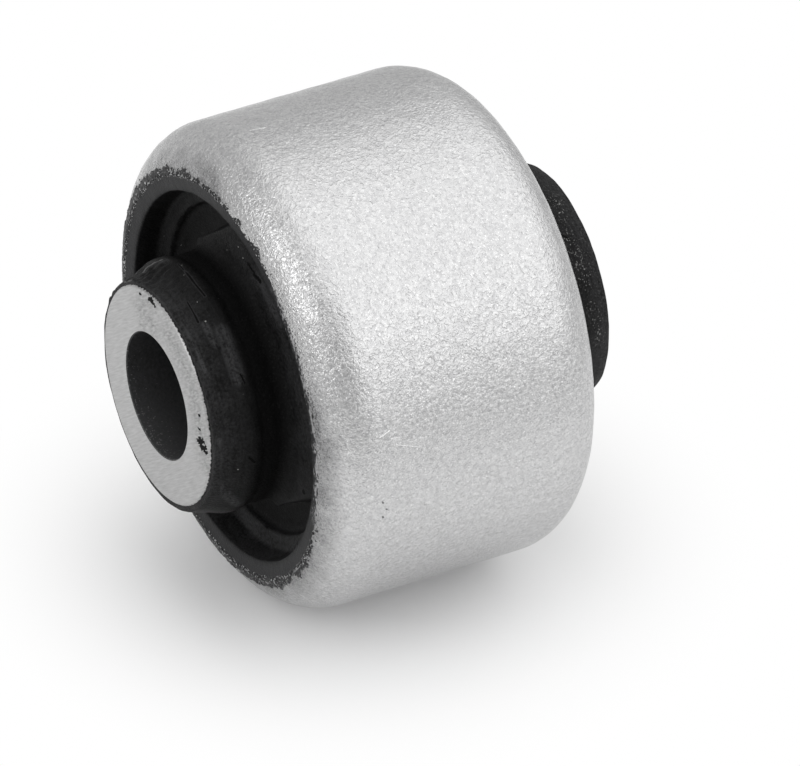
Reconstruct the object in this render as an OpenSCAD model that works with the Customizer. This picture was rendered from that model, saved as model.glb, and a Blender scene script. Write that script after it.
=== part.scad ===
// Rubber and metal bush, standing on one end: a tube with rolled-in ends, a moulded rubber
// body bonded inside it, and a thick-walled inner sleeve for a clamping bolt.
// Millimetres. The axis is Z, and the end plane of the inner sleeve is at Z = 0.

/* [Outer sleeve] */
// Outside diameter, pressed into the eye of an arm
outer_d = 46; // [44:0.5:60]
// Length from rim to rim
sleeve_len = 28; // [23:0.5:34]
// Wall of the tube
wall_t = 2; // [1.6:0.1:2.6]
// Outside radius of the rolled-in ends
roll_r = 4.9; // [4:0.1:6]
// Angle through which each end is rolled in
roll_angle = 80; // [70:1:88]

/* [Inner sleeve] */
// Bore for the bolt
bore_d = 12; // [8:0.1:16]
// Outside diameter of the inner sleeve
inner_d = 20.8; // [18:0.1:22]
// Length between the two clamped ends, which is the length of the bush
bush_len = 41; // [39:0.5:60]
// Broken edge at the mouths of the bore
bore_break = 0.1; // [0.05:0.05:0.5]
// Broken edge round the outside of each end
rim_break = 0.15; // [0.05:0.05:0.3]

/* [Rubber collars] */
// Step from the end of the inner sleeve back to the rubber
collar_setback = 0.25; // [0.2:0.05:0.6]
// Rubber on the inner sleeve at the front edge of a collar
collar_front_t = 0.5; // [0.4:0.05:0.9]
// Rubber on the inner sleeve at the back edge of a collar
collar_back_t = 1.7; // [1.2:0.1:2.1]
// From the end of the inner sleeve to the back edge of a collar
collar_len = 3.9; // [3:0.05:4.9]
// Length over which a collar narrows to the neck behind it
collar_heel = 0.9; // [0.5:0.05:1.2]

/* [Rubber recesses] */
// Rubber on the inner sleeve in the neck behind a collar
neck_t = 1.35; // [0.9:0.05:1.6]
// Floor of the groove, below the rim of the outer sleeve
groove_depth = 3.6; // [3:0.1:5]
// Inner edge of the ledge, below the rim of the outer sleeve
ledge_depth = 2.65; // [2.2:0.05:2.9]
// Width of the ledge
ledge_w = 1.5; // [0.6:0.1:1.8]
// Rise of the ledge towards the lining
ledge_rise = 0.15; // [0.05:0.05:0.8]
// Rubber lining between the rim of the outer sleeve and the recess
lining_t = 1.5; // [1.2:0.05:1.8]
// Inner edge of the lining, below the rim of the outer sleeve
lining_drop = 0.2; // [0.1:0.05:0.5]
// Draft of the lining's wall, from its edge down to the ledge
lining_draft = 0.3; // [0.2:0.05:0.7]

/* [Rubber webs] */
// How far each straight side of a web stands out beyond the neck
web_side_t = 1.45; // [0.9:0.05:2.2]
// Top of a web, below the rim of the outer sleeve
web_drop = 1; // [0.5:0.1:1.5]
// Fillet between a web and the neck
web_fillet = 1.2; // [0.8:0.1:1.5]
// Rounding of a web's two long edges
web_round = 0.6; // [0.3:0.1:0.9]

/* [Hidden] */
$fn = 128;

aluminium = [0.78, 0.78, 0.79];
turned_aluminium = [0.72, 0.72, 0.73];
black_rubber = [0.09, 0.09, 0.09];

outer_r = outer_d / 2;
inner_r = inner_d / 2;
bore_r = bore_d / 2;
end_z = bush_len / 2;
rim_z = sleeve_len / 2;

// Each rolled end bends about this radius and height
roll_centre_r = outer_r - roll_r;
roll_centre_z = rim_z - roll_r * sin(roll_angle);
rim_r = roll_centre_r + roll_r * cos(roll_angle);
// Steps in the arc of each rolled end
roll_steps = 20;
// Steps in the arc of each rounded corner
corner_steps = 5;

// Free surface of the rubber: radii measured out from the inner sleeve or in from the rim
neck_r = inner_r + neck_t;
lining_r = rim_r - lining_t;
ledge_out_r = lining_r - lining_draft;
ledge_in_r = ledge_out_r - ledge_w;
groove_z = rim_z - groove_depth;
ledge_in_z = rim_z - ledge_depth;
collar_back_z = end_z - collar_len;
web_z = rim_z - web_drop;
web_half_w = neck_r + web_side_t;
// The webs run into the rubber round them by this much, and so are one moulding with it
web_bite = 0.3;
// Share of its radius at which a web's fillet leaves the neck, so that the two cross at an angle
fillet_lean = 0.97;

// Corners of the free surface at the top end, each with its radius, height and rounding
free_corners = [
    [inner_r, end_z - collar_setback, 0],
    [inner_r + collar_front_t, end_z - collar_setback, 0.3],
    [inner_r + collar_back_t, collar_back_z, 0.9],
    [neck_r, collar_back_z - collar_heel, 0.9],
    [neck_r, groove_z, 1],
    [ledge_in_r, groove_z, 0.6],
    [ledge_in_r, ledge_in_z, 0.35],
    [ledge_out_r, ledge_in_z + ledge_rise, 0.35],
    [lining_r, rim_z - lining_drop, 0.35],
    [rim_r, rim_z, 0]
];

// Points of the arc that rounds the corner b between its neighbours a and c
function rounded(a, b, c, r) =
    let (
        u = (a - b) / norm(a - b),
        v = (c - b) / norm(c - b),
        half = acos(max(-1, min(1, u * v))) / 2,
        centre = b + (u + v) / norm(u + v) * r / sin(half),
        from = b + u * r / tan(half) - centre,
        to = b + v * r / tan(half) - centre,
        turn = acos(max(-1, min(1, from * to / (r * r)))),
        side = sign(from[0] * to[1] - from[1] * to[0])
    )
    [for (i = [0 : corner_steps])
        let (t = side * turn * i / corner_steps)
        centre + [from[0] * cos(t) - from[1] * sin(t), from[0] * sin(t) + from[1] * cos(t)]];

// A path through corners of the form [radius, height, rounding]
function round_path(corners) = [
    for (i = [0 : len(corners) - 1])
        let (b = [corners[i][0], corners[i][1]])
        each corners[i][2] == 0 ? [b] : rounded(
            [corners[i - 1][0], corners[i - 1][1]], b,
            [corners[i + 1][0], corners[i + 1][1]], corners[i][2])];

// The rolled wall at a given depth below its outside, from the straight part to the rim
function roll_path(depth) = [
    for (i = [0 : roll_steps])
        let (a = roll_angle * i / roll_steps)
        [roll_centre_r + (roll_r - depth) * cos(a), roll_centre_z + (roll_r - depth) * sin(a)]];

function reversed(path) = [for (i = [len(path) - 1 : -1 : 0]) path[i]];
function flipped(path) = [for (p = reversed(path)) [p[0], -p[1]]];
// The same path at both ends of the bush, from the bottom end to the top end
function both_ends(path) = concat(flipped(path), path);

module turned(section) {
    translate([0, 0, end_z]) rotate_extrude() polygon(section);
}

// Tube with both ends rolled in towards the axis
module outer_sleeve() {
    color(aluminium)
        turned(concat(both_ends(roll_path(0)), reversed(both_ends(roll_path(wall_t)))));
}

// Web at the top end: on the -Y side it fills the recess up to its own top, between two straight
// sides that run along Y past the neck, and it rises to the neck in a fillet
module web() {
    centre_r = neck_r + web_fillet * fillet_lean;
    // Angle at which the fillet's arc crosses the neck, on its way down to the web's top
    start = 360 - acos(-fillet_lean);
    fillet = [
        for (i = [0 : corner_steps])
            let (a = start + (270 - start) * i / corner_steps)
            [centre_r + web_fillet * cos(a), web_z + web_fillet * (1 + sin(a))]];
    section = concat(
        [[neck_r - web_bite, groove_z - web_bite], [neck_r - web_bite, fillet[0][1]]],
        fillet,
        [[lining_r + web_bite, web_z], [lining_r + web_bite, groove_z - web_bite]]);
    edge = round_path([
        [web_half_w - 2 * web_round, web_z + web_round / 6, 0],
        [web_half_w, web_z + web_round / 6, web_round],
        [web_half_w, groove_z - 2 * web_bite, 0]
    ]);
    side = concat([[web_half_w - 2 * web_round, web_z + 2 * web_fillet]], edge);
    intersection() {
        turned(section);
        translate([0, 0, end_z]) rotate([90, 0, 0]) linear_extrude(outer_r)
            polygon(concat(side, [for (p = reversed(side)) [-p[0], p[1]]]));
    }
}

// One moulding: it fills the outer sleeve from the inside of its rolled ends, and carries at
// each end a lining, a stepped recess with a web across one side, a neck and a tapered collar
module rubber_body() {
    free = round_path(free_corners);
    color(black_rubber) {
        turned(concat(free, reversed(both_ends(roll_path(wall_t))), flipped(free)));
        web();
        translate([0, 0, bush_len]) mirror([0, 0, 1]) web();
    }
}

// Turned tube, faced at both ends
module inner_sleeve() {
    mouth = [
        [bore_r, end_z - bore_break],
        [bore_r + bore_break, end_z],
        [inner_r - rim_break, end_z],
        [inner_r, end_z - rim_break]
    ];
    color(turned_aluminium)
        turned(concat(mouth, flipped(mouth)));
}

outer_sleeve();
rubber_body();
inner_sleeve();
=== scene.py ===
# A rubber metal bush that lies on its side, seen from its near end. Metres, in the CAD model's own frame.
import math
import bpy
import numpy as np
from mathutils import Matrix, Vector


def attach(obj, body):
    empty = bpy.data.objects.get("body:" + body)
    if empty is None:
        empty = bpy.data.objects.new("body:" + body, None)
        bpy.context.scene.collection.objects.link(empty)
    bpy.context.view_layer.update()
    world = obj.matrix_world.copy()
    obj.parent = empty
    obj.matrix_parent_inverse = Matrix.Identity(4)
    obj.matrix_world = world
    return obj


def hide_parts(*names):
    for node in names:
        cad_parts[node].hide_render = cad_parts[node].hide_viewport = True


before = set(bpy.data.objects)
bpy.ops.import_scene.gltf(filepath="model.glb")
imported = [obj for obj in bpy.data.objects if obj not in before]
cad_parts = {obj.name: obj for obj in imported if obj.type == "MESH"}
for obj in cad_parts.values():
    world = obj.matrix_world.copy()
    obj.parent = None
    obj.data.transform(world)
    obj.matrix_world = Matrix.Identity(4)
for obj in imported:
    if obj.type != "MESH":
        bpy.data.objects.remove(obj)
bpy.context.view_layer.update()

mm = 0.001
middle = 20.5  # mm from the lower end to the bush's middle, which every profile below is measured from
rng = np.random.default_rng  # always called with a seed


def toLinear(hexColour):
    # turns an sRGB hex colour into the linear one that a shader reads
    parts = [int(hexColour[i:i + 2], 16) / 255 for i in (1, 3, 5)]
    return tuple(c / 12.92 if c <= 0.04045 else ((c + 0.055) / 1.055) ** 2.4 for c in parts) + (1.0,)


def nodeAdder(tree):
    # empties a node tree, and gives the one small function that adds a node to it
    tree.nodes.clear()

    def add(kind, inputs=None, out=0, **settings):
        # settings are the node's properties, inputs its values or the sockets to link; hands back one output
        node = tree.nodes.new("ShaderNode" + kind)
        for name, value in settings.items():
            setattr(node, name, value)
        for name, value in (inputs or {}).items():
            if isinstance(value, bpy.types.NodeSocket):
                tree.links.new(value, node.inputs[name])
            else:
                node.inputs[name].default_value = value
        return node.outputs[out] if node.outputs else None

    return add


# Camera: a long lens, so that the ends of the bush are as parallel as in the photograph
camera = {
    "axisAngle": 67.0,  # degrees between the line of sight and the bush's axis
    "roll": 16.6,  # degrees
    "distance": 1.022,
    "lens": 504.2,
    "sensor": 36.0,
    "clip": (0.05, 20.0),
    "imageSize": (800, 766),
    "middleAt": (356.5, 336.4),  # pixel at which the bush's middle shows
}

axisAngle = math.radians(camera["axisAngle"])
roll = math.radians(camera["roll"])
sideways = Vector((0, math.cos(axisAngle), math.sin(axisAngle)))
towards = Vector((0, -math.sin(axisAngle), math.cos(axisAngle)))
pictureRight = -math.sin(roll) * Vector((1, 0, 0)) - math.cos(roll) * sideways
pictureUp = math.cos(roll) * Vector((1, 0, 0)) - math.sin(roll) * sideways
bushMiddle = Vector((0, 0, middle * mm))


def addCamera():
    # the camera looks past the bush's middle, so that the middle shows at its own pixel
    wide, high = camera["imageSize"]
    metresPerPixel = camera["distance"] * camera["sensor"] / camera["lens"] / wide
    column, row = camera["middleAt"]
    aim = bushMiddle + (wide / 2 - column) * metresPerPixel * pictureRight
    aim = aim + (row - high / 2) * metresPerPixel * pictureUp
    data = bpy.data.cameras.new("camera")
    data.lens = camera["lens"]
    data.sensor_width = camera["sensor"]
    data.clip_start, data.clip_end = camera["clip"]
    seen = bpy.data.objects.new("camera", data)
    bpy.context.scene.collection.objects.link(seen)
    place = bushMiddle + camera["distance"] * towards
    back = (place - aim).normalized()
    right = pictureUp.cross(back).normalized()
    up = back.cross(right)
    turn = np.eye(4)
    turn[:3, 0], turn[:3, 1], turn[:3, 2], turn[:3, 3] = right, up, back, place
    seen.matrix_world = Matrix(turn.tolist())
    bpy.context.scene.camera = seen


addCamera()
print("camera stands")

# Studio: the bush lies on a pale table, which stands upright in the CAD frame and touches the outer sleeve
studio = {
    "elevation": 33.95,  # degrees that the camera looks down at the table
    "sleeveRadius": 23.0,  # mm from the axis to the table
    "tableReach": 0.4,
    "tableColour": "#F2F2F2",
    "tableOwnLight": 0.04,  # brings the open table up to white for the camera
    # metres from the bush over which the table turns plain white, as the camera and as the metal see it
    "whiteForCamera": (0.010, 0.038),
    "whiteForMetal": (0.060, 0.150),
    "farTableForMetal": 0.63,  # level at which the metal sees the far table, where the camera sees 1
    "skyLevel": 0.74,  # plain light from all round
    # soft boxes: way as right, up and to the front; half width and soft edge in degrees; level
    "softBoxes": [
        {"way": (0.45, 0.85, 0.02), "halfWidth": 52, "edge": 24, "level": 0.85},
        {"way": (-0.865, 0.42, 0.34), "halfWidth": 15, "edge": 9, "level": 1.90},
        {"way": (0.72, 0.38, 0.58), "halfWidth": 22, "edge": 14, "level": 0.22},
        {"way": (0.60, 0.20, 0.77), "halfWidth": 8, "edge": 6, "level": 0.45},
        # a level below zero takes light from the sky, as the dark room behind the camera does
        {"way": (-0.02, 0.48, 0.88), "halfWidth": 9, "edge": 8, "level": -0.42},
        {"way": (0.05, 0.78, 0.62), "halfWidth": 9, "edge": 8, "level": -0.30},
    ],
}

elevation = math.radians(studio["elevation"])
tableUp = math.cos(elevation) * pictureUp + math.sin(elevation) * towards
tableFront = (towards - towards.dot(tableUp) * tableUp).normalized()


def addTable():
    # one large square, facing the bush
    reach = studio["tableReach"]
    foot = bushMiddle - studio["sleeveRadius"] * mm * tableUp
    ends = ((-1, 1), (1, 1), (1, -1), (-1, -1))
    corners = [foot + reach * (a * pictureRight + b * tableFront) for a, b in ends]
    mesh = bpy.data.meshes.new("table")
    mesh.from_pydata([tuple(c) for c in corners], [], [(0, 1, 2, 3)])
    table = bpy.data.objects.new("table", mesh)
    bpy.context.scene.collection.objects.link(table)
    # painted board, matt: near the bush it takes the light and the shadow, farther out it is plain white
    paint = bpy.data.materials.new("mattWhiteBoard")
    paint.use_nodes = True
    add = nodeAdder(paint.node_tree)
    place = add("TexCoord", out="Object")
    away = add("VectorMath", {0: place, 1: tuple(foot)}, "Value", operation="DISTANCE")
    rays = add("LightPath").node.outputs
    toCamera = rays["Is Camera Ray"]
    toMetal = add("Math", {0: rays["Is Glossy Ray"], 1: rays["Is Transmission Ray"]}, operation="MAXIMUM")
    share = 0.0
    for ray, ramp in ((toCamera, "whiteForCamera"), (toMetal, "whiteForMetal")):
        nearest, farthest = studio[ramp]
        white = add("MapRange", {
            "Value": away, "From Min": nearest, "From Max": farthest}, interpolation_type="SMOOTHSTEP")
        white = add("Math", {0: ray, 1: white}, operation="MULTIPLY")
        share = add("Math", {0: white, 1: share}, operation="MAXIMUM")
    seen = add("Math", {0: toCamera, 1: toMetal}, operation="MAXIMUM")
    board = add("BsdfDiffuse", {"Color": toLinear(studio["tableColour"])})
    ownLevel = add("Math", {0: seen, 1: studio["tableOwnLight"]}, operation="MULTIPLY")
    ownLight = add("Emission", {"Strength": ownLevel})
    lit = add("AddShader", {0: board, 1: ownLight})
    farLevel = add("Mix", {0: toCamera, 2: studio["farTableForMetal"], 3: 1.0}, data_type="FLOAT")
    plain = add("Emission", {"Strength": farLevel})
    front = add("MixShader", {0: share, 1: lit, 2: plain})
    # from behind, the table can be seen through
    clear = add("BsdfTransparent")
    back = add("NewGeometry", out="Backfacing")
    whole = add("MixShader", {0: back, 1: front, 2: clear})
    add("OutputMaterial", {"Surface": whole})
    mesh.materials.append(paint)


def addStudioLight():
    # even light from all round, with soft boxes as smooth round patches; the camera sees plain white
    world = bpy.data.worlds.new("studio")
    bpy.context.scene.world = world
    world.use_nodes = True
    add = nodeAdder(world.node_tree)
    way = add("TexCoord", out="Generated")
    level = studio["skyLevel"]
    for box in studio["softBoxes"]:
        right, up, front = box["way"]
        centre = (right * pictureRight + up * tableUp + front * tableFront).normalized()
        cosine = add("VectorMath", {0: way, 1: tuple(centre)}, "Value", operation="DOT_PRODUCT")
        patch = add("MapRange", {
            "Value": cosine,
            "From Min": math.cos(math.radians(box["halfWidth"] + box["edge"])),
            "From Max": math.cos(math.radians(max(box["halfWidth"] - box["edge"], 0))),
            "To Max": box["level"]}, interpolation_type="SMOOTHSTEP")
        level = add("Math", {0: patch, 1: level}, operation="ADD")
    isCamera = add("LightPath", out="Is Camera Ray")
    shown = add("Mix", {0: isCamera, 2: level, 3: 1.0}, data_type="FLOAT")
    sky = add("Background", {"Strength": shown})
    add("OutputWorld", {"Surface": sky})


addTable()
addStudioLight()
view = bpy.context.scene.view_settings
view.view_transform = "Standard"
print("table and light stand")


# Meshes

def waveNoise(points, wavelength, seed, waves=40, spread=(0.75, 1.35)):
    # plane waves of about one length in random directions and phases, added up: seamless, about -2 to 2
    dice = rng(seed)
    way = dice.normal(size=(waves, 3))
    way /= np.linalg.norm(way, axis=1)[:, None]
    way *= 2 * math.pi / (wavelength * dice.uniform(*spread, (waves, 1)))
    phase = dice.uniform(0, 2 * math.pi, waves)
    total = np.cos(points.reshape(-1, 3) @ way.T + phase).sum(1)
    return total.reshape(points.shape[:-1]) * math.sqrt(2 / waves)


def layeredNoise(points, layers, seed, lowered=0.0):
    # the sum of such noises, each with its own wavelength and height, mm, lowered by a share of that height
    return sum(
        height * (waveNoise(points, length, seed + k) - lowered)
        for k, (length, height) in enumerate(layers))


def roundedPath(corners, steps=6, leastRounding=1e-4):
    # each corner (radius, height, rounding) gives way to the arc that touches both of its straight runs,
    # turned from one tangent point to the other round the arc's centre
    corners = np.asarray(corners, float)
    inner = corners[1:-1, :2]
    back = corners[:-2, :2] - inner
    ahead = corners[2:, :2] - inner
    back /= np.linalg.norm(back, axis=1)[:, None]
    ahead /= np.linalg.norm(ahead, axis=1)[:, None]
    rounding = np.maximum(corners[1:-1, 2], leastRounding)[:, None]
    half = np.arccos(np.clip((back * ahead).sum(1), -1, 1))[:, None] / 2
    bisector = (back + ahead) / np.linalg.norm(back + ahead, axis=1)[:, None]
    centre = inner + bisector * rounding / np.sin(half)
    first = inner + back * rounding / np.tan(half) - centre
    last = inner + ahead * rounding / np.tan(half) - centre
    turn = math.pi - 2 * half
    share = np.linspace(0, 1, steps)[None, :, None]
    turn = turn[:, None, :]
    arc = (np.sin((1 - share) * turn) * first[:, None] + np.sin(share * turn) * last[:, None]) / np.sin(turn)
    arc = (arc + centre[:, None]).reshape(-1, 2)
    return np.concatenate([corners[:1, :2], arc, corners[-1:, :2]])


def distanceAlong(path):
    # how far each point of a path lies from its start, along the path
    return np.r_[0, np.cumsum(np.hypot(*np.diff(path, axis=0).T))]


def pointsAt(path, along, stations):
    # the points of a path at given distances along it
    return np.stack([np.interp(stations, along, path[:, 0]), np.interp(stations, along, path[:, 1])], 1)


def filledPath(path, step, tiny=1e-6):
    # adds points along the straight runs, so that no two neighbours lie farther apart than the step
    along = distanceAlong(path)
    keep = np.r_[True, np.diff(along) > tiny]
    path, along = path[keep], along[keep]
    counts = np.maximum(np.ceil(np.diff(along) / step).astype(int), 1)
    starts = np.repeat(along[:-1], counts)
    widths = np.repeat(np.diff(along) / counts, counts)
    order = np.arange(counts.sum()) - np.repeat(np.cumsum(counts) - counts, counts)
    return pointsAt(path, along, np.r_[starts + widths * order, along[-1]])


def evenPath(path, rows):
    # the same path with a given number of points at even distances
    along = distanceAlong(path)
    return pointsAt(path, along, np.linspace(0, along[-1], rows))


def pathNormals(path):
    # unit normals of a closed path in the radius and height plane, to the right of its direction
    along = np.roll(path, -1, axis=0) - np.roll(path, 1, axis=0)
    along /= np.linalg.norm(along, axis=1)[:, None]
    return np.stack([along[:, 1], -along[:, 0]], 1)


def mirrored(path):
    # the same path at the far end, in the opposite order
    return path[::-1] * (1, -1)


def turned(path, columns):
    # carries a path round the axis: x = radius cos(angle), y = radius sin(angle), z = height
    angle = np.arange(columns) * 2 * math.pi / columns
    points = np.empty((len(path), columns, 3))
    points[..., 0] = path[:, :1] * np.cos(angle)
    points[..., 1] = path[:, :1] * np.sin(angle)
    points[..., 2] = path[:, 1:]
    return points


def gridFaces(rows, columns):
    # four-sided faces between neighbouring points of a grid that closes both ways
    i = np.arange(rows)[:, None] * columns
    down = (np.arange(rows)[:, None] + 1) % rows * columns
    j = np.arange(columns)[None, :]
    right = (j + 1) % columns
    return np.stack([i + j, i + right, down + right, down + j], -1).reshape(-1, 4)


def addPiece(name, points, materials, node=None, attributes=None, sharpOver=40):
    # makes one closed piece from a grid of points in mm about the bush's middle
    places = points.reshape(-1, 3) + (0, 0, middle)
    faces = gridFaces(*points.shape[:2])
    # if the volume that the faces enclose comes out negative, they point inwards and are turned over
    a, b, c, d = (places[faces[:, k]] for k in range(4))
    if (np.cross(b - a, c - a) * a).sum() + (np.cross(c - a, d - a) * a).sum() < 0:
        faces = faces[:, ::-1]
    mesh = bpy.data.meshes.new(name)
    mesh.vertices.add(len(places))
    mesh.vertices.foreach_set("co", (places * mm).ravel())
    mesh.loops.add(faces.size)
    mesh.loops.foreach_set("vertex_index", np.ascontiguousarray(faces, np.int32).ravel())
    mesh.polygons.add(len(faces))
    mesh.polygons.foreach_set("loop_start", np.arange(0, faces.size, 4, dtype=np.int32))
    mesh.update(calc_edges=True)
    mesh.validate()
    mesh.polygons.foreach_set("use_smooth", np.ones(len(faces), bool))
    mesh.set_sharp_from_angle(angle=math.radians(sharpOver))
    for key, values in (attributes or {}).items():
        mesh.attributes.new(key, "FLOAT", "POINT").data.foreach_set("value", values.ravel())
    for material in materials:
        mesh.materials.append(material)
    piece = bpy.data.objects.new(name, mesh)
    bpy.context.scene.collection.objects.link(piece)
    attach(piece, "root")
    if node:
        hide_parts(node)
    print(name, len(faces) * 2, "triangles")
    return piece


# Materials: places are in mm, so a noise's scale is in waves a millimetre; relief depths are in metres

def newMaterial(name):
    # an empty material, the function that adds its nodes, and the places on the piece
    material = bpy.data.materials.new(name)
    material.use_nodes = True
    add = nodeAdder(material.node_tree)
    place = add("TexCoord", out="Object")
    place = add("VectorMath", {0: place, "Scale": 1 / mm}, operation="SCALE")
    return material, add, place


def finished(material, add, inputs):
    # ends a material with its shader
    add("OutputMaterial", {"Surface": add("BsdfPrincipled", inputs)})
    return material


def coated(add, tone, *coats):
    # lays coats over a tone, one on another: each is its share, 0 to 1, and its hex colour or socket
    for share, colour in coats:
        tone, colour = (toLinear(c) if isinstance(c, str) else c for c in (tone, colour))
        tone = add("Mix", {0: share, 6: tone, 7: colour}, 2, data_type="RGBA")
    return tone


def fromAxis(add, place):
    # how far a place lies from the bush's axis
    flat = add("VectorMath", {0: place, 1: (1, 1, 0)}, operation="MULTIPLY")
    return add("VectorMath", {0: flat}, "Value", operation="LENGTH")


def onSide(add, place, side, least, full, shape="SMOOTHSTEP"):
    # 0 to 1: how well a place faces a side of the bush, by the cosine of the angle between them
    flat = add("VectorMath", {0: place, 1: (1, 1, 0)}, operation="MULTIPLY")
    way = add("VectorMath", {0: flat}, operation="NORMALIZE")
    cosine = add("VectorMath", {0: way, 1: side}, "Value", operation="DOT_PRODUCT")
    return add("MapRange", {"Value": cosine, "From Min": least, "From Max": full}, interpolation_type=shape)


def strokes(add, place, marks, wobble=None, core=0.7, edge=1.2):
    # how deep a place lies in any of the marks, 0 to 1: each is a straight stroke with start, end and half
    # width, mm, full up to its core's share of that width and gone at its edge's; a noise makes it ragged
    share = 0.0
    for start, end, halfWidth in marks:
        run = Vector(end) - Vector(start)
        fromStart = add("VectorMath", {0: place, 1: start}, operation="SUBTRACT")
        along = add("VectorMath", {
            0: fromStart, 1: tuple(run / run.length_squared)}, "Value", operation="DOT_PRODUCT")
        along = add("Clamp", {"Value": along})
        nearest = add("VectorMath", {0: tuple(run), "Scale": along}, operation="SCALE")
        gap = add("VectorMath", {0: fromStart, 1: nearest}, "Value", operation="DISTANCE")
        if wobble:
            ragged = add("Math", {0: wobble, 1: 0.5}, operation="SUBTRACT")
            gap = add("Math", {0: ragged, 1: 2 * halfWidth, 2: gap}, operation="MULTIPLY_ADD")
        inside = add("MapRange", {"Value": gap, "From Min": edge * halfWidth, "From Max": core * halfWidth})
        share = add("Math", {0: inside, 1: share}, operation="MAXIMUM")
    return share


def wayTo(angle):
    # the direction away from the axis at an angle in degrees
    return math.cos(math.radians(angle)), math.sin(math.radians(angle)), 0


# Outer sleeve: tumbled aluminium tube, its ends rolled in
outerSleeve = {
    "wall": 2.0,
    "rollRadius": 4.9,
    "rollAngle": 80,
    "rollCentre": (18.1, 9.174),  # radius and height
    "rollRows": (33, 9),  # points along the rolled corner, outside and inside
    "columns": 640,
    "step": 0.28,  # widest gap between points along the tube
    "dents": ((2.6, 0.010), (1.1, 0.004)),  # wavelength and depth of the tube's unevenness, mm
    "dentSeed": 11,
    "lowered": 2.2,  # share of its depth by which each wave is lowered, so that the dents only sink
    "leastDent": 0.008,  # mm: keeps the tube inside the flat faces of the CAD tube
    "dentFade": 0.5,  # mm from the rims over which the dents die out
    # sizes of the rounded grain, of its finest part and of the patches that make the edge of the rims'
    # painted shade and pits ragged, mm
    "grain": 0.38,
    "fine": 0.12,
    "patches": 2.5,
    "tones": ("#BEBEBF", "#DCDCDC"),
    # white for the painted glints on the highest grains, and for the bright scratches
    "glintAndScratchWhite": "#FFFFFF",
    # tones of the rims: the darkest is painted shade, the palest a painted highlight on one side
    "rimShadeAndHighlightTones": ("#767677", "#ECECEC"),
    "rimShadeAndPitsFrom": (13.6, 15.1),  # mm from the middle over which the rims' painted shade and pits set in
    "brightSide": -68,  # degrees: side on which the rims get a painted highlight
    "rubberInPits": "#4A4A4B",
    "speckTone": "#5A5A5B",
    "roughness": 0.15,
    "relief": 0.000125,
    # bright scratches and dark specks: start, end, half width, mm
    "scratches": (
        ((20.55, -10.32, 29.10), (20.40, -10.62, 27.70), 0.07),
        ((-9.28, -21.03, 30.06), (-8.94, -21.19, 29.00), 0.07),
        ((-10.27, -20.58, 28.67), (-11.09, -20.15, 26.21), 0.04),
    ),
    "specks": (
        ((-14.90, -17.50, 30.10), (-15.00, -17.40, 30.00), 0.09),
        ((-15.60, -16.90, 29.70), (-15.65, -16.85, 29.60), 0.08),
        ((-16.15, -16.35, 30.00), (-16.25, -16.25, 29.95), 0.09),
    ),
}


def rollArc(radius, rows):
    # the rolled-in corner at the near end, from the straight part to the rim
    angle = np.radians(np.linspace(0, outerSleeve["rollAngle"], rows))
    r, z = outerSleeve["rollCentre"]
    return np.stack([r + radius * np.cos(angle), z + radius * np.sin(angle)], 1)


def addOuterSleeve(material):
    part = outerSleeve
    outerRows, innerRows = part["rollRows"]
    near = rollArc(part["rollRadius"], outerRows)
    outside = filledPath(np.concatenate([mirrored(near), near]), part["step"])
    nearInside = rollArc(part["rollRadius"] - part["wall"], innerRows)[::-1]
    path = np.concatenate([outside, nearInside, mirrored(nearInside)])
    points = turned(path, part["columns"])
    # dents only sink, and die out at the rims, so that the sleeve keeps its size and meets the rubber
    depth = layeredNoise(points, part["dents"], part["dentSeed"], part["lowered"])
    outer = np.arange(len(path)) < len(outside)
    rimGap = np.abs(path[:, 1] - near[-1, 1] * np.sign(path[:, 1]))
    fade = outer * np.clip(rimGap / part["dentFade"], 0, 1)
    depth = np.minimum(depth, -part["leastDent"]) * fade[:, None]
    points += turned(pathNormals(path), part["columns"]) * depth[..., None]
    return addPiece("outerSleeve", points, [material], "outer_sleeve")


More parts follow.
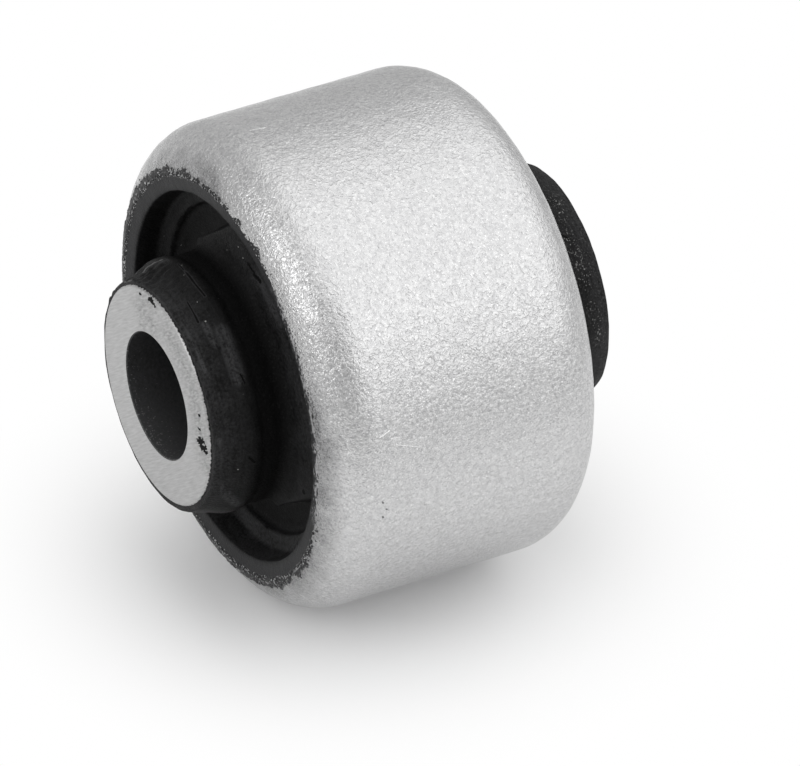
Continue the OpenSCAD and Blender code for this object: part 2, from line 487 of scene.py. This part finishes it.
def tumbledAluminium():
    # aluminium tube tumbled in ceramic media: soft reflections over a fine rounded grain, with painted glints
    # on it and painted shade at the rims
    material, add, place = newMaterial("tumbledAluminium")
    part = outerSleeve
    grain = add("TexNoise", {
        "Vector": place, "Scale": 1 / part["grain"], "Detail": 2.0, "Roughness": 0.6, "Distortion": 0.9})
    fine = add("TexNoise", {"Vector": place, "Scale": 1 / part["fine"], "Detail": 1.0})
    patches = add("TexNoise", {"Vector": place, "Scale": 1 / part["patches"], "Detail": 3.0})
    pits = add("TexNoise", {"Vector": place, "Scale": 3.6, "Detail": 4.0, "Roughness": 0.65})
    contrast = add("MapRange", {"Value": grain, "From Min": 0.3, "From Max": 0.7})
    # painted highlights: the highest grains are painted white as glints
    paintedGlint = add("MapRange", {"Value": fine, "From Min": 0.60, "From Max": 0.74, "To Max": 0.75})
    # painted shade: the rolled rims are painted darker, and they are rubbed and pitted
    height = add("SeparateXYZ", {0: place}, "Z")
    height = add("Math", {0: height, 1: middle}, operation="SUBTRACT")
    height = add("Math", {0: height}, operation="ABSOLUTE")
    ragged = add("Math", {0: patches, 1: 2.0, 2: height}, operation="MULTIPLY_ADD")
    least, full = part["rimShadeAndPitsFrom"]
    rim = add("MapRange", {"Value": ragged, "From Min": least, "From Max": full})
    # they are mottled, and painted brighter on one side as a painted highlight
    mottle = add("MapRange", {"Value": pits, "From Min": 0.40, "From Max": 0.60, "To Max": 0.5})
    bright = onSide(add, place, wayTo(part["brightSide"]), 0.80, 0.96)
    mottle = add("Math", {0: bright, 1: 0.5, 2: mottle}, operation="MULTIPLY_ADD")
    darkest, palest = part["rimShadeAndHighlightTones"]
    # painted shade at the rims, with a painted highlight on one side, over the mottle of the pits
    wearAndPaintedLight = coated(add, darkest, (mottle, palest))
    # rubber is left in the pits beside the rim, fewer of them farther out
    filled = add("Math", {0: rim, 1: 0.16, 2: pits}, operation="MULTIPLY_ADD")
    filled = add("MapRange", {"Value": filled, "From Min": 0.68, "From Max": 0.82})
    scratch = strokes(add, place, part["scratches"])
    speck = strokes(add, place, part["specks"])
    dark, light = part["tones"]
    tone = coated(
        add, dark, (contrast, light), (paintedGlint, part["glintAndScratchWhite"]), (rim, wearAndPaintedLight),
        (filled, part["rubberInPits"]), (scratch, part["glintAndScratchWhite"]), (speck, part["speckTone"]))
    relief = add("Math", {0: fine, 1: 0.12, 2: grain}, operation="MULTIPLY_ADD")
    relief = add("Math", {0: scratch, 1: 0.5, 2: relief}, operation="MULTIPLY_ADD")
    bump = add("Bump", {"Height": relief, "Distance": part["relief"], "Strength": 1.0})
    return finished(material, add, {
        "Base Color": tone, "Normal": bump, "Metallic": 1.0, "Roughness": part["roughness"]})


addOuterSleeve(tumbledAluminium())

# Rubber body: one moulded piece between the sleeves, the same at both ends
rubberBody = {
    "columns": 480,
    # the free surface at the near end, from the inner sleeve to the rim: radius, height, rounding
    "collar": (
        (10.4, 20.31, 0), (10.97, 20.305, 0.15), (12.1, 16.6, 1.9), (11.75, 15.7, 1.4), (11.75, 14.3, 0)),
    "recess": (
        (11.75, 14.3, 0), (11.75, 10.4, 1.0), (15.65, 10.4, 0.6), (15.65, 11.35, 0.35), (17.15, 11.5, 0.35),
        (17.42, 13.6, 0)),
    # what takes the recess's place where the web crosses it
    "webTop": ((11.75, 14.3, 0), (11.75, 13.0, 1.2), (17.35, 13.0, 0.1), (17.42, 13.6, 0)),
    "lining": ((17.42, 13.6, 0), (17.451, 13.8, 0.18), (18.951, 14.0, 0)),
    "collarStep": 0.28,  # widest gap between points along the collar, and along the lining
    "liningStep": 0.5,
    "recessRows": 48,  # points along the recess, and along each of its rounded corners
    "cornerRows": 9,
    "webHalfWidth": 13.2,
    "webSlope": 0.6,  # mm either side of its edge over which the web rises
    "webStart": (0.2, 1.6),  # mm from the plane Y = 0 at which the web starts, and over which it rises
    "bondRows": 9,  # points along each rolled corner that the rubber is bonded to
    "innerRadius": 10.4,  # where the rubber meets the inner sleeve, and the rim of the outer one
    "rimRadius": 18.951,
    "ripple": ((3.5, 0.014), (1.3, 0.006)),  # wavelength and height, mm
    "rippleSeed": 21,
    "rippleFade": (0.6, 0.4),  # mm from the inner sleeve, and from the rim, over which it dies out
    # how far the near collar is worn down over the top of the bush: depth by height, mm, and share by angle
    "worn": ((16.6, 0.0), (17.2, 0.1), (18.0, 0.2), (18.35, 0.36), (19.3, 0.42), (20.3, 0.22)),
    "wornShare": ((-62, 0.0), (-30, 0.7), (-10, 1.0), (25, 1.0), (60, 0.0)),
    # wavelength, strength and seed of the noise in the wear's height, mm, and in its depth, as a share
    "wornHeightNoise": (1.4, 0.12, 31),
    "wornDepthNoise": (0.9, 0.2, 32),
    "wornFade": 0.5,  # mm from the inner sleeve over which the wear sets in
    # painted shade: how light grey the rubber is painted, low in the recesses, by share of the way along each
    # stretch
    "paintedShade": {
        "collar": ((0, 1.0), (0.1, 0.85), (0.3, 0.55), (0.6, 0.25), (0.8, 0.08), (1, 0.03)),
        "recess": (
            (0, 0.03), (0.31, 0.02), (0.4, 0.1), (0.6, 0.14), (0.7, 0.3), (0.76, 0.5), (0.82, 0.4),
            (0.9, 0.05), (1, 0.1)),
        "webTop": ((0, 0.03), (0.12, 0.05), (0.3, 0.5), (0.45, 0.9), (0.95, 0.9), (1, 0.5)),
        "lining": ((0, 0.3), (0.3, 1.0), (1, 1.0)),
    },
    # painted shade: the web is painted darker from this many mm off its middle, over this many, by this share
    "webEndShade": (7.5, 5.5, 0.75),
    # painted light: the recess is painted lighter on the side that lies lowest, full at this many mm below
    # the axis
    "lowSideLight": ((0, 0.0), (0.35, 0.1), (0.6, 0.1), (0.68, 0.4), (0.8, 0.7), (0.9, 0.9), (1, 0.9)),
    "lowReach": 15,
    "bareSide": -107,  # degrees: side on which the rim shows bare metal
    "tones": ("#080808", "#383839"),
    "liningTone": "#333334",
    "bareTone": "#B0B0B1",
    "lipTone": "#2C2C2D",
    "cutTone": "#020202",
    "tornEdgeHighlightTone": "#5A5A5A",
    "dustTone": "#B4B4B2",
    "roughness": 0.55,
    "relief": 0.00011,
    # cuts in the near collar, with a pale torn lip along each: start, end, half width, mm
    "cuts": (
        ((10.91, -5.04, 37.37), (10.09, -6.46, 37.49), 0.06),
        ((10.09, -6.46, 37.49), (8.70, -8.19, 37.62), 0.09),
        ((8.70, -8.19, 37.62), (7.38, -9.42, 37.54), 0.08),
        ((7.35, -8.75, 39.09), (5.93, -9.81, 39.17), 0.06),
        ((5.93, -9.81, 39.17), (5.27, -10.17, 39.21), 0.09),
    ),
    # painted highlights along thin torn edges, where they catch the light
    "lips": (
        ((11.13, -0.5, 39.0), (11.44, -0.7, 38.5), 0.12),
        ((11.44, -0.7, 38.5), (11.58, -1.3, 38.0), 0.12),
        ((11.58, -1.3, 38.0), (11.62, -2.3, 37.6), 0.10),
        ((10.75, 0.2, 40.75), (10.70, -1.7, 40.70), 0.12),
    ),
    # where dust has settled thickest, on the far collar
    "dusted": (
        ((2.9, -11.2, 2.4), (-0.8, -11.4, 2.2), 1.1),
        ((6.5, -9.3, 1.7), (5.3, -10.1, 2.1), 0.8),
        ((-3.5, -10.8, 2.0), (-6.6, -9.0, 1.4), 0.7),
    ),
    # places painted pale: patches on the collar, painted highlights along its front edge and its lip, and a
    # rubbed band on the web beside the rim
    "wearAndPaintedLight": (
        ((3.9, -11.3, 37.7), (-0.6, -11.9, 37.7), 0.75),
        ((4.86, -10.40, 38.75), (2.89, -11.16, 38.68), 0.40),
        ((5.6, -9.75, 40.5), (3.2, -10.8, 40.4), 0.16),
        ((3.2, -10.8, 40.4), (0.8, -11.2, 40.3), 0.20),
        ((-5.33, -9.59, 40.30), (-9.88, -5.42, 39.70), 0.28),
        ((-10.2, -4.9, 39.2), (-11.6, -3.0, 37.6), 0.6),
        ((11.2, -0.18, 38.3), (11.5, -3.2, 37.6), 0.4),
        ((7.4, -12.9, 33.5), (3.2, -14.6, 33.5), 0.55),
    ),
    # torn and pitted places, black
    "pits": (
        ((3.5, -11.4, 3.0), (2.88, -11.25, 2.4), 0.12),
        ((9.0, -11.5, 33.5), (8.0, -12.4, 33.5), 0.18),
        ((7.9, -12.2, 33.5), (7.2, -13.1, 33.5), 0.26),
        ((-12.08, -8.79, 33.5), (-12.0, -8.9, 33.5), 0.22),
        ((-13.03, -6.85, 33.41), (-13.0, -6.9, 33.4), 0.20),
        ((-7.63, -9.07, 37.77), (-8.21, -8.78, 37.23), 0.12),
        ((-0.25, -11.95, 37.49), (-1.15, -11.94, 37.27), 0.06),
    ),
    # single grains of dust: place and half width, mm
    "dustSpots": (
        (5.13, -10.35, 38.56, 0.11), (-8.37, -7.91, 38.65, 0.10), (10.32, -5.56, 36.15, 0.035),
        (10.67, -5.47, 37.23, 0.035), (9.73, -6.71, 37.79, 0.035), (12.60, 8.62, 30.95, 0.04),
        (13.85, 9.54, 31.97, 0.04), (6.77, -9.69, 36.50, 0.04), (7.04, -9.28, 38.35, 0.035),
        (2.67, -11.39, 38.17, 0.04), (2.53, -11.09, 39.07, 0.04), (2.95, -10.91, 39.40, 0.035),
        (4.20, -10.90, 38.25, 0.035), (-2.05, -11.71, 37.64, 0.04), (10.75, -10.37, 33.50, 0.07),
        (10.80, -7.70, 33.50, 0.04), (9.67, -10.76, 33.50, 0.07),
    ),
}


def addRubberBody(material):
    part = rubberBody
    columns, rows, cornerRows = part["columns"], part["recessRows"], part["cornerRows"]
    paths = {
        "collar": filledPath(roundedPath(part["collar"]), part["collarStep"]),
        "recess": evenPath(roundedPath(part["recess"], cornerRows), rows),
        "webTop": evenPath(roundedPath(part["webTop"], cornerRows), rows),
        "lining": filledPath(roundedPath(part["lining"]), part["liningStep"]),
    }
    paintedShades = {}
    for name, path in paths.items():
        along = distanceAlong(path)
        paintedShades[name] = np.interp(along / along[-1], *zip(*part["paintedShade"][name]))
    # the free surface from collar to lining, once through the recess and once over the web, with its painted
    # shade
    free, withWeb, freeShade, webShade = (
        np.concatenate([of["collar"][:-1], of[crossing], of["lining"][1:]])
        for of in (paths, paintedShades) for crossing in ("recess", "webTop"))
    points = turned(free, columns)
    raised = turned(withWeb, columns)
    # the web's straight sides run along Y; the surface rises to its top in an S-curve across each side
    slope = part["webSlope"]
    start, length = part["webStart"]
    inside = np.clip((part["webHalfWidth"] + slope - np.abs(raised[..., 0])) / (2 * slope), 0, 1)
    inside *= np.clip((-raised[..., 1] - start) / length, 0, 1)
    inside = inside ** 2 * (3 - 2 * inside)
    points += (raised - points) * inside[..., None]
    start, length, most = part["webEndShade"]
    # painted shade, darker towards the web's ends
    webEndDarkening = most * np.clip((np.abs(raised[..., 0]) - start) / length, 0, 1)
    paintedShade = freeShade[:, None] + (webShade[:, None] * (1 - webEndDarkening) - freeShade[:, None]) * inside
    recess = slice(len(paths["collar"]) - 1, len(paths["collar"]) - 1 + rows)
    # painted light along the recess on its lowest side
    lowest = np.clip(-points[recess, :, 0] / part["lowReach"], 0, 1)
    low = np.interp(np.linspace(0, 1, rows), *zip(*part["lowSideLight"]))
    paintedShade[recess] += low[:, None] * lowest * (1 - inside[recess])
    # the ripple dies out where the rubber meets the two sleeves
    depth = layeredNoise(points, part["ripple"], part["rippleSeed"])
    radius = np.hypot(points[..., 0], points[..., 1])
    innerFade, rimFade = part["rippleFade"]
    depth *= np.clip((radius - part["innerRadius"]) / innerFade, 0, 1)
    depth *= np.clip((part["rimRadius"] - radius) / rimFade, 0, 1)
    along = np.gradient(points, axis=0)
    across = np.roll(points, -1, axis=1) - np.roll(points, 1, axis=1)
    normal = np.cross(across, along)
    normal /= np.linalg.norm(normal, axis=-1)[..., None]
    points += normal * depth[..., None]
    farSide = points[::-1] * (1, 1, -1)
    # the near collar's front is worn down over the top, by its height, its angle and a little noise
    length, shift, seed = part["wornHeightNoise"]
    height = points[..., 2] + shift * waveNoise(points, length, seed)
    length, share, seed = part["wornDepthNoise"]
    worn = np.interp(height, *zip(*part["worn"])) * (1 + share * waveNoise(points, length, seed))
    worn *= np.interp(np.degrees(np.arctan2(points[..., 1], points[..., 0])), *zip(*part["wornShare"]))
    worn *= np.clip((radius - part["innerRadius"]) / part["wornFade"], 0, 1)
    outwards = turned(np.array([[1.0, 0.0]]), columns)
    points = points - outwards * worn[..., None]
    bond = rollArc(outerSleeve["rollRadius"] - outerSleeve["wall"], part["bondRows"])[::-1]
    bond = turned(np.concatenate([bond, mirrored(bond)]), columns)
    points = np.concatenate([points, bond, farSide])
    paintedShade = np.concatenate([paintedShade, np.zeros(bond.shape[:2]), paintedShade[::-1]])
    return addPiece("rubberBody", points, [material], "rubber_body", {"paintedShade": paintedShade})


def mouldedRubber():
    # black natural rubber, moulded and vulcanised, with painted shade: painted black in the recesses and dull
    # grey on the exposed faces;
    # the lining along the rim is greyer, and on the camera's side its outer edge shows the metal through
    material, add, place = newMaterial("mouldedRubber")
    part = rubberBody
    grain = add("TexNoise", {"Vector": place, "Scale": 3.8, "Detail": 5.0, "Roughness": 0.65})
    patches = add("TexNoise", {"Vector": place, "Scale": 0.55, "Detail": 2.0})
    # faint lines that the mould's turning left, running round the bush
    squeezed = add("VectorMath", {0: place, 1: (0.2, 0.2, 3.5)}, operation="MULTIPLY")
    mixed = add("TexNoise", {"Vector": squeezed, "Scale": 1.0, "Detail": 3.0})
    for layer, weight in ((grain, 2.6), (patches, 0.9)):
        mixed = add("Math", {0: layer, 1: weight, 2: mixed}, operation="MULTIPLY_ADD")
    mixed = add("MapRange", {"Value": mixed, "From Min": 1.75, "From Max": 2.75})
    # painted shade, read from the mesh: grey on the exposed faces, black in the recesses
    paintedShade = add("Attribute", out="Fac", attribute_name="paintedShade")
    # pale places, partly painted highlights, added to the painted shade
    wearAndPaintedLight = strokes(add, place, part["wearAndPaintedLight"], grain)
    wearAndPaintedLight = add("Math", {0: wearAndPaintedLight, 1: 0.85, 2: paintedShade}, operation="MULTIPLY_ADD")
    # the share of grey: the mottle times the painted shade
    shadedMottle = add("Math", {0: mixed, 1: wearAndPaintedLight}, operation="MULTIPLY")
    radius = fromAxis(add, place)
    lining = add("MapRange", {
        "Value": radius, "From Min": 17.15, "From Max": 18.1}, interpolation_type="SMOOTHSTEP")
    # the bare stretch of the rim: its share falls off away from its middle, and inwards
    shreds = add("TexNoise", {"Vector": place, "Scale": 1.9, "Detail": 5.0, "Roughness": 0.8})
    reach = add("Math", {0: shreds, 1: 9.0, 2: radius}, operation="MULTIPLY_ADD")
    bare = add("MapRange", {"Value": reach, "From Min": 23.0, "From Max": 23.2})
    for share in (onSide(add, place, wayTo(part["bareSide"]), 0.78, 0.88), lining):
        bare = add("Math", {0: bare, 1: share}, operation="MULTIPLY")
    lip = strokes(add, place, [(start, end, 2 * halfWidth) for start, end, halfWidth in part["cuts"]], grain)
    cut = strokes(add, place, part["cuts"])
    pits = strokes(add, place, part["pits"], grain)
    cut = add("Math", {0: cut, 1: pits}, operation="MAXIMUM")
    # painted highlights on the torn edges
    tornEdgeHighlight = strokes(add, place, part["lips"], grain)
    # dust: grains of a fifth of a millimetre, a few near, more towards the far end, most where it has settled
    dust = add("TexNoise", {"Vector": place, "Scale": 5.0, "Detail": 1.0})
    dust = add("MapRange", {"Value": dust, "From Min": 0.60, "From Max": 0.72})
    height = add("SeparateXYZ", {0: place}, "Z")
    thick = add("MapRange", {
        "Value": height, "From Min": 5.0, "From Max": 36.0, "To Min": 0.08, "To Max": 0.01})
    settled = strokes(add, place, part["dusted"], None, 0.0)
    settled = add("Math", {0: settled, 1: thick}, operation="MULTIPLY")
    thick = add("Math", {0: settled, 1: 6.0, 2: thick}, operation="MULTIPLY_ADD")
    dust = add("Math", {0: dust, 1: thick}, operation="MULTIPLY")
    spots = strokes(add, place, [((x, y, z), (x, y, z + 0.02), w) for x, y, z, w in part["dustSpots"]])
    dust = add("Math", {0: dust, 1: spots}, operation="MAXIMUM")
    black, grey = part["tones"]
    tone = coated(
        add, black, (shadedMottle, grey), (lining, part["liningTone"]), (bare, part["bareTone"]),
        (lip, part["lipTone"]), (cut, part["cutTone"]), (tornEdgeHighlight, part["tornEdgeHighlightTone"]), (dust, part["dustTone"]))
    relief = add("Math", {0: cut, 1: -2.0, 2: grain}, operation="MULTIPLY_ADD")
    bump = add("Bump", {"Height": relief, "Distance": part["relief"], "Strength": 0.8})
    sheen = add("MapRange", {"Value": paintedShade, "To Min": 0.06, "To Max": 0.14})
    return finished(material, add, {
        "Base Color": tone, "Normal": bump, "Roughness": part["roughness"], "Specular IOR Level": sheen})


addRubberBody(mouldedRubber())

# Rim flash: thin film of rubber that the mould pressed out over the sleeve's rim, worn through at the edge
rimFlash = {
    "columns": 1600,
    "inwards": 0.3,  # mm that the film reaches over the lining
    "outwards": 1.9,  # mm that the grid reaches over the roll, past the longest tooth
    "rows": ((0.36, 14), (0.44, 16)),  # points up to this many mm from the edge, and from this many on
    "liningWay": (-1.551, -0.3),  # radius and height, from the edge along the lining
    "thickness": 0.07,
    "sunk": 0.12,  # mm that the strip lies under the metal where there is no film
    "steepness": 0.5,  # rise of the film's top at its ragged edge
    "innerSteepness": 0.35,
    "unevenness": (0.25, 0.008),  # wavelength and height, mm
    # mm that the film covers, by angle round the bush in degrees; below zero it ends short of the metal
    "cover": ((-180, 0.75), (-165, 0.6), (-150, 0.25), (-140, 0.0), (-130, -0.12), (-78, -0.12), (-68, 0.15),
              (-60, 0.4), (-45, 0.3), (-30, 0.35), (-15, 0.6), (0, 0.75), (15, 1.0), (30, 1.35), (45, 1.55),
              (90, 1.5), (135, 1.5), (150, 1.1), (165, 0.9), (180, 0.75)),
    "teeth": ((1.9, 0.14), (0.7, 0.11), (0.29, 0.09)),  # wavelength and reach of the ragged edge, mm
    # dashes worn through, mm from the edge: middle, half width and depth, and where the noise is cut off
    "dashes": {"at": 0.10, "halfWidth": 0.13, "depth": 0.25, "least": -0.1, "most": 0.8},
    "dashNoise": ((0.42, 1.0), (1.9, 0.6)),  # wavelength, mm, and weight
    "dashStretch": (1, 1, 0.4),
    "tones": ("#1C1C1D", "#3C3C3D"),
    "fleckTone": "#C4C4C4",
    "crumbTone": "#1C1C1D",
    "roughness": 0.5,
    "relief": 0.00004,
}


def pressedFilm():
    # a film of the same rubber, a few hundredths of a millimetre thick: a little greyer far over the metal
    material, add, place = newMaterial("pressedFilm")
    part = rimFlash
    over = add("Attribute", out="Fac", attribute_name="over")
    mottle = add("TexNoise", {"Vector": place, "Scale": 3.0, "Detail": 4.0})
    mottle = add("Math", {0: mottle, 1: 0.9, 2: over}, operation="MULTIPLY_ADD")
    share = add("MapRange", {"Value": mottle, "From Min": 0.25, "From Max": 1.45})
    # bright flecks where it is worn through, most of them at the sleeve's edge, and black crumbs
    flecks = add("TexNoise", {"Vector": place, "Scale": 4.6, "Detail": 2.0})
    bright = add("MapRange", {"Value": flecks, "From Min": 0.60, "From Max": 0.66})
    atEdge = add("MapRange", {"Value": over, "From Min": 0.9, "From Max": 0.4, "To Min": 0.25})
    bright = add("Math", {0: bright, 1: atEdge}, operation="MULTIPLY")
    crumbs = add("MapRange", {"Value": flecks, "From Min": 0.40, "From Max": 0.35})
    black, grey = part["tones"]
    tone = coated(add, black, (share, grey), (bright, part["fleckTone"]), (crumbs, part["crumbTone"]))
    bump = add("Bump", {"Height": mottle, "Distance": part["relief"], "Strength": 0.8})
    return finished(material, add, {
        "Base Color": tone, "Normal": bump, "Roughness": part["roughness"], "Specular IOR Level": 0.25})


def addRimFlash(name, end, seed, material):
    # a strip along the rim: its top stands on the metal by a thickness that is below zero where the film ends
    part = rimFlash
    (closeTo, closeRows), (wideFrom, wideRows) = part["rows"]
    over = np.r_[
        np.linspace(-part["inwards"], closeTo, closeRows), np.linspace(wideFrom, part["outwards"], wideRows)]
    rollRadius = outerSleeve["rollRadius"]
    bend = np.radians(outerSleeve["rollAngle"]) - np.maximum(over, 0) / rollRadius
    r, z = outerSleeve["rollCentre"]
    base = np.stack([r + rollRadius * np.cos(bend), z + rollRadius * np.sin(bend)], 1)
    base -= np.minimum(over, 0)[:, None] * np.array(part["liningWay"]) / math.hypot(*part["liningWay"])
    normal = np.stack([np.cos(bend), np.sin(bend)], 1)
    top = turned(base, part["columns"])
    angle = np.degrees(np.arctan2(top[0, :, 1], top[0, :, 0]))
    cover = np.interp(angle, *zip(*part["cover"]))
    left = cover + layeredNoise(top, part["teeth"], seed) - over[:, None]
    thickness = np.clip(left * part["steepness"], -part["sunk"], part["thickness"])
    # worn through along the edge, in short dashes that run round it
    dashes = part["dashes"]
    (length, weight), (longLength, longWeight) = part["dashNoise"]
    worn = weight * waveNoise(top * part["dashStretch"], length, seed + 7)
    worn += longWeight * waveNoise(top, longLength, seed + 8)
    edge = np.exp(-((over - dashes["at"]) / dashes["halfWidth"]) ** 2)[:, None]
    thickness -= np.clip(worn - dashes["least"], 0, dashes["most"]) * edge * dashes["depth"]
    length, height = part["unevenness"]
    thickness += height * waveNoise(top, length, seed + 9)
    # the inner border runs down into the lining
    thickness = np.where(over[:, None] < 0, thickness + over[:, None] * part["innerSteepness"], thickness)
    top = top + turned(normal, part["columns"]) * np.maximum(thickness, -part["sunk"])[..., None]
    ends = turned(base[[-1, 0]] - normal[[-1, 0]] * 2 * part["sunk"], part["columns"])
    points = np.concatenate([top, ends]) * (1, 1, end)
    reach = np.r_[over, over[-1], over[0]][:, None] * np.ones(part["columns"])
    return addPiece(name, points, [material], None, {"over": reach})


film = pressedFilm()
addRimFlash("nearRimFlash", 1, 41, film)
addRimFlash("farRimFlash", -1, 61, film)

# Inner sleeve: thick aluminium tube, sawn to length, its bore dark
innerSleeve = {
    "columns": 384,
    "step": 0.4,
    # the near end, from the bore to the outside: radius and height
    "end": ((6.0, 20.4), (6.1, 20.5), (10.25, 20.5), (10.4, 20.35)),
    "sawnTones": ("#B2B2B2", "#C8C8C8"),
    "stainTone": "#707070",
    "rubberTone": "#161616",
    "dullness": (0.42, 0.85),  # roughness of the bare metal and of the rubber on it
    "sawRelief": 0.00002,
    "boreTones": ("#1A1A1B", "#3A3A3B"),
    "wornTone": "#505051",
    "chipTone": "#707070",
    "boreRoughness": 0.5,
    "boreRelief": 0.00004,
    "lowSide": (-0.8, 0.6, 0),  # direction from the axis in which the bore is worn greyer
    # smears of rubber and soft stains on the near face: start, end, half width, mm
    "smears": (
        ((8.55, -5.0, 41.0), (8.4, -5.5, 41.0), 0.48),
        ((8.1, -5.5, 41.0), (7.9, -5.7, 41.0), 0.40),
        ((9.25, -3.1, 41.0), (9.2, -3.4, 41.0), 0.20),
        ((-2.7, -8.3, 41.0), (-2.8, -8.6, 41.0), 0.24),
        ((-3.9, -7.4, 41.0), (-4.0, -7.7, 41.0), 0.24),
        ((-4.65, -6.9, 41.0), (-4.75, -7.2, 41.0), 0.35),
        ((-5.0, -6.6, 41.0), (-5.15, -7.6, 41.0), 0.55),
        ((-5.5, -6.8, 41.0), (-5.7, -7.7, 41.0), 0.55),
        ((-6.0, -7.2, 41.0), (-6.2, -7.7, 41.0), 0.36),
    ),
    "stains": (
        ((6.6, -1.3, 41.0), (6.4, -2.1, 41.0), 0.7),
        ((8.6, -3.2, 41.0), (7.9, -5.6, 41.0), 1.4),
        ((8.0, -2.2, 41.0), (5.9, -4.2, 41.0), 1.6),
        ((5.0, -7.0, 41.0), (0.5, -8.9, 41.0), 2.4),
        ((0.5, -8.9, 41.0), (-6.8, -6.8, 41.0), 2.2),
    ),
}


def addInnerSleeve(materials):
    part = innerSleeve
    near = filledPath(np.array(part["end"]), part["step"])
    path = np.concatenate([near, mirrored(near)])
    points = turned(path, part["columns"])
    piece = addPiece("innerSleeve", points, materials, "inner_sleeve")
    # the second material lies on the bore's wall, between the last row and the first, and on its mouths
    mouthRadius = part["end"][1][0] + 0.01
    radii = np.hypot(points[:, 0, 0], points[:, 0, 1])
    inBore = np.maximum(radii, np.roll(radii, -1)) < mouthRadius
    piece.data.polygons.foreach_set("material_index", np.repeat(inBore.astype(np.int32), part["columns"]))
    return piece


def sawnAluminium():
    # sawn aluminium: dull, with straight fine marks across the end face, and rubber smeared along its edge
    material, add, place = newMaterial("sawnAluminium")
    part = innerSleeve
    alongSaw = add("Mapping", {
        "Vector": place, "Rotation": (0, 0, math.radians(-3)), "Scale": (6.5, 0.6, 1.0)})
    marks = add("TexNoise", {"Vector": alongSaw, "Scale": 1.0, "Detail": 4.0})
    sawn = add("MapRange", {"Value": marks, "From Min": 0.3, "From Max": 0.7})
    grain = add("TexNoise", {"Vector": place, "Scale": 3.5, "Detail": 3.0})
    # stains and smears are whole in their middle and break up into crumbs along the saw's marks
    crumbs = add("VectorMath", {0: place, 1: (4.5, 1.4, 1)}, operation="MULTIPLY")
    crumbs = add("TexNoise", {"Vector": crumbs, "Scale": 1.0, "Detail": 3.0})
    stain = strokes(add, place, part["stains"], None, 0.0)
    blotch = add("MapRange", {"Value": crumbs, "From Min": 0.36, "From Max": 0.80})
    stain = add("Math", {0: stain, 1: blotch}, operation="MULTIPLY")
    smear = strokes(add, place, part["smears"], None, 0.0)
    smear = add("Math", {0: crumbs, 1: 1.5, 2: smear}, operation="MULTIPLY_ADD")
    smear = add("MapRange", {"Value": smear, "From Min": 1.22, "From Max": 1.34})
    radius = fromAxis(add, place)
    radius = add("Math", {0: grain, 1: 0.3, 2: radius}, operation="MULTIPLY_ADD")
    edge = add("MapRange", {"Value": radius, "From Min": 10.50, "From Max": 10.56})
    dark = add("Math", {0: smear, 1: edge}, operation="MAXIMUM")
    dullest, palest = part["sawnTones"]
    tone = coated(add, dullest, (sawn, palest), (stain, part["stainTone"]), (dark, part["rubberTone"]))
    bare = add("Math", {0: 1.0, 1: dark}, operation="SUBTRACT")
    sheen = add("MapRange", {"Value": dark, "To Min": 0.5, "To Max": 0.1})
    onMetal, onRubber = part["dullness"]
    dullness = add("MapRange", {"Value": dark, "To Min": onMetal, "To Max": onRubber})
    bump = add("Bump", {"Height": marks, "Distance": part["sawRelief"], "Strength": 0.5})
    return finished(material, add, {
        "Base Color": tone, "Normal": bump, "Metallic": bare, "Roughness": dullness,
        "Specular IOR Level": sheen})


def bondPrimedBore():
    # the bore's wall, black from bonding primer: dull, finely grained, and chipped to the metal at its mouth
    material, add, place = newMaterial("bondPrimedBore")
    part = innerSleeve
    grain = add("TexNoise", {"Vector": place, "Scale": 3.5, "Detail": 4.0})
    share = add("MapRange", {"Value": grain, "From Min": 0.2, "From Max": 0.8})
    # near the mouth, on the low side of the bush, it is worn greyer
    height = add("SeparateXYZ", {0: place}, "Z")
    low = onSide(add, place, part["lowSide"], -0.1, 0.9, "LINEAR")
    worn = add("MapRange", {
        "Value": height, "From Min": middle + 10, "From Max": middle + 20.5, "To Max": 0.5})
    worn = add("Math", {0: worn, 1: low}, operation="MULTIPLY")
    mouth = add("MapRange", {
        "Value": height, "From Min": middle + 17, "From Max": middle + 20.5, "To Min": 0.80, "To Max": 0.64})
    mouth = add("Math", {0: low, 1: -0.06, 2: mouth}, operation="MULTIPLY_ADD")
    chips = add("TexNoise", {"Vector": place, "Scale": 5.0, "Detail": 2.0})
    chips = add("Math", {0: chips, 1: mouth}, operation="SUBTRACT")
    chips = add("MapRange", {"Value": chips, "From Max": 0.04})
    black, grey = part["boreTones"]
    tone = coated(add, black, (share, grey), (worn, part["wornTone"]), (chips, part["chipTone"]))
    bump = add("Bump", {"Height": grain, "Distance": part["boreRelief"], "Strength": 0.7})
    return finished(material, add, {
        "Base Color": tone, "Normal": bump, "Roughness": part["boreRoughness"], "Specular IOR Level": 0.3})


addInnerSleeve([sawnAluminium(), bondPrimedBore()])
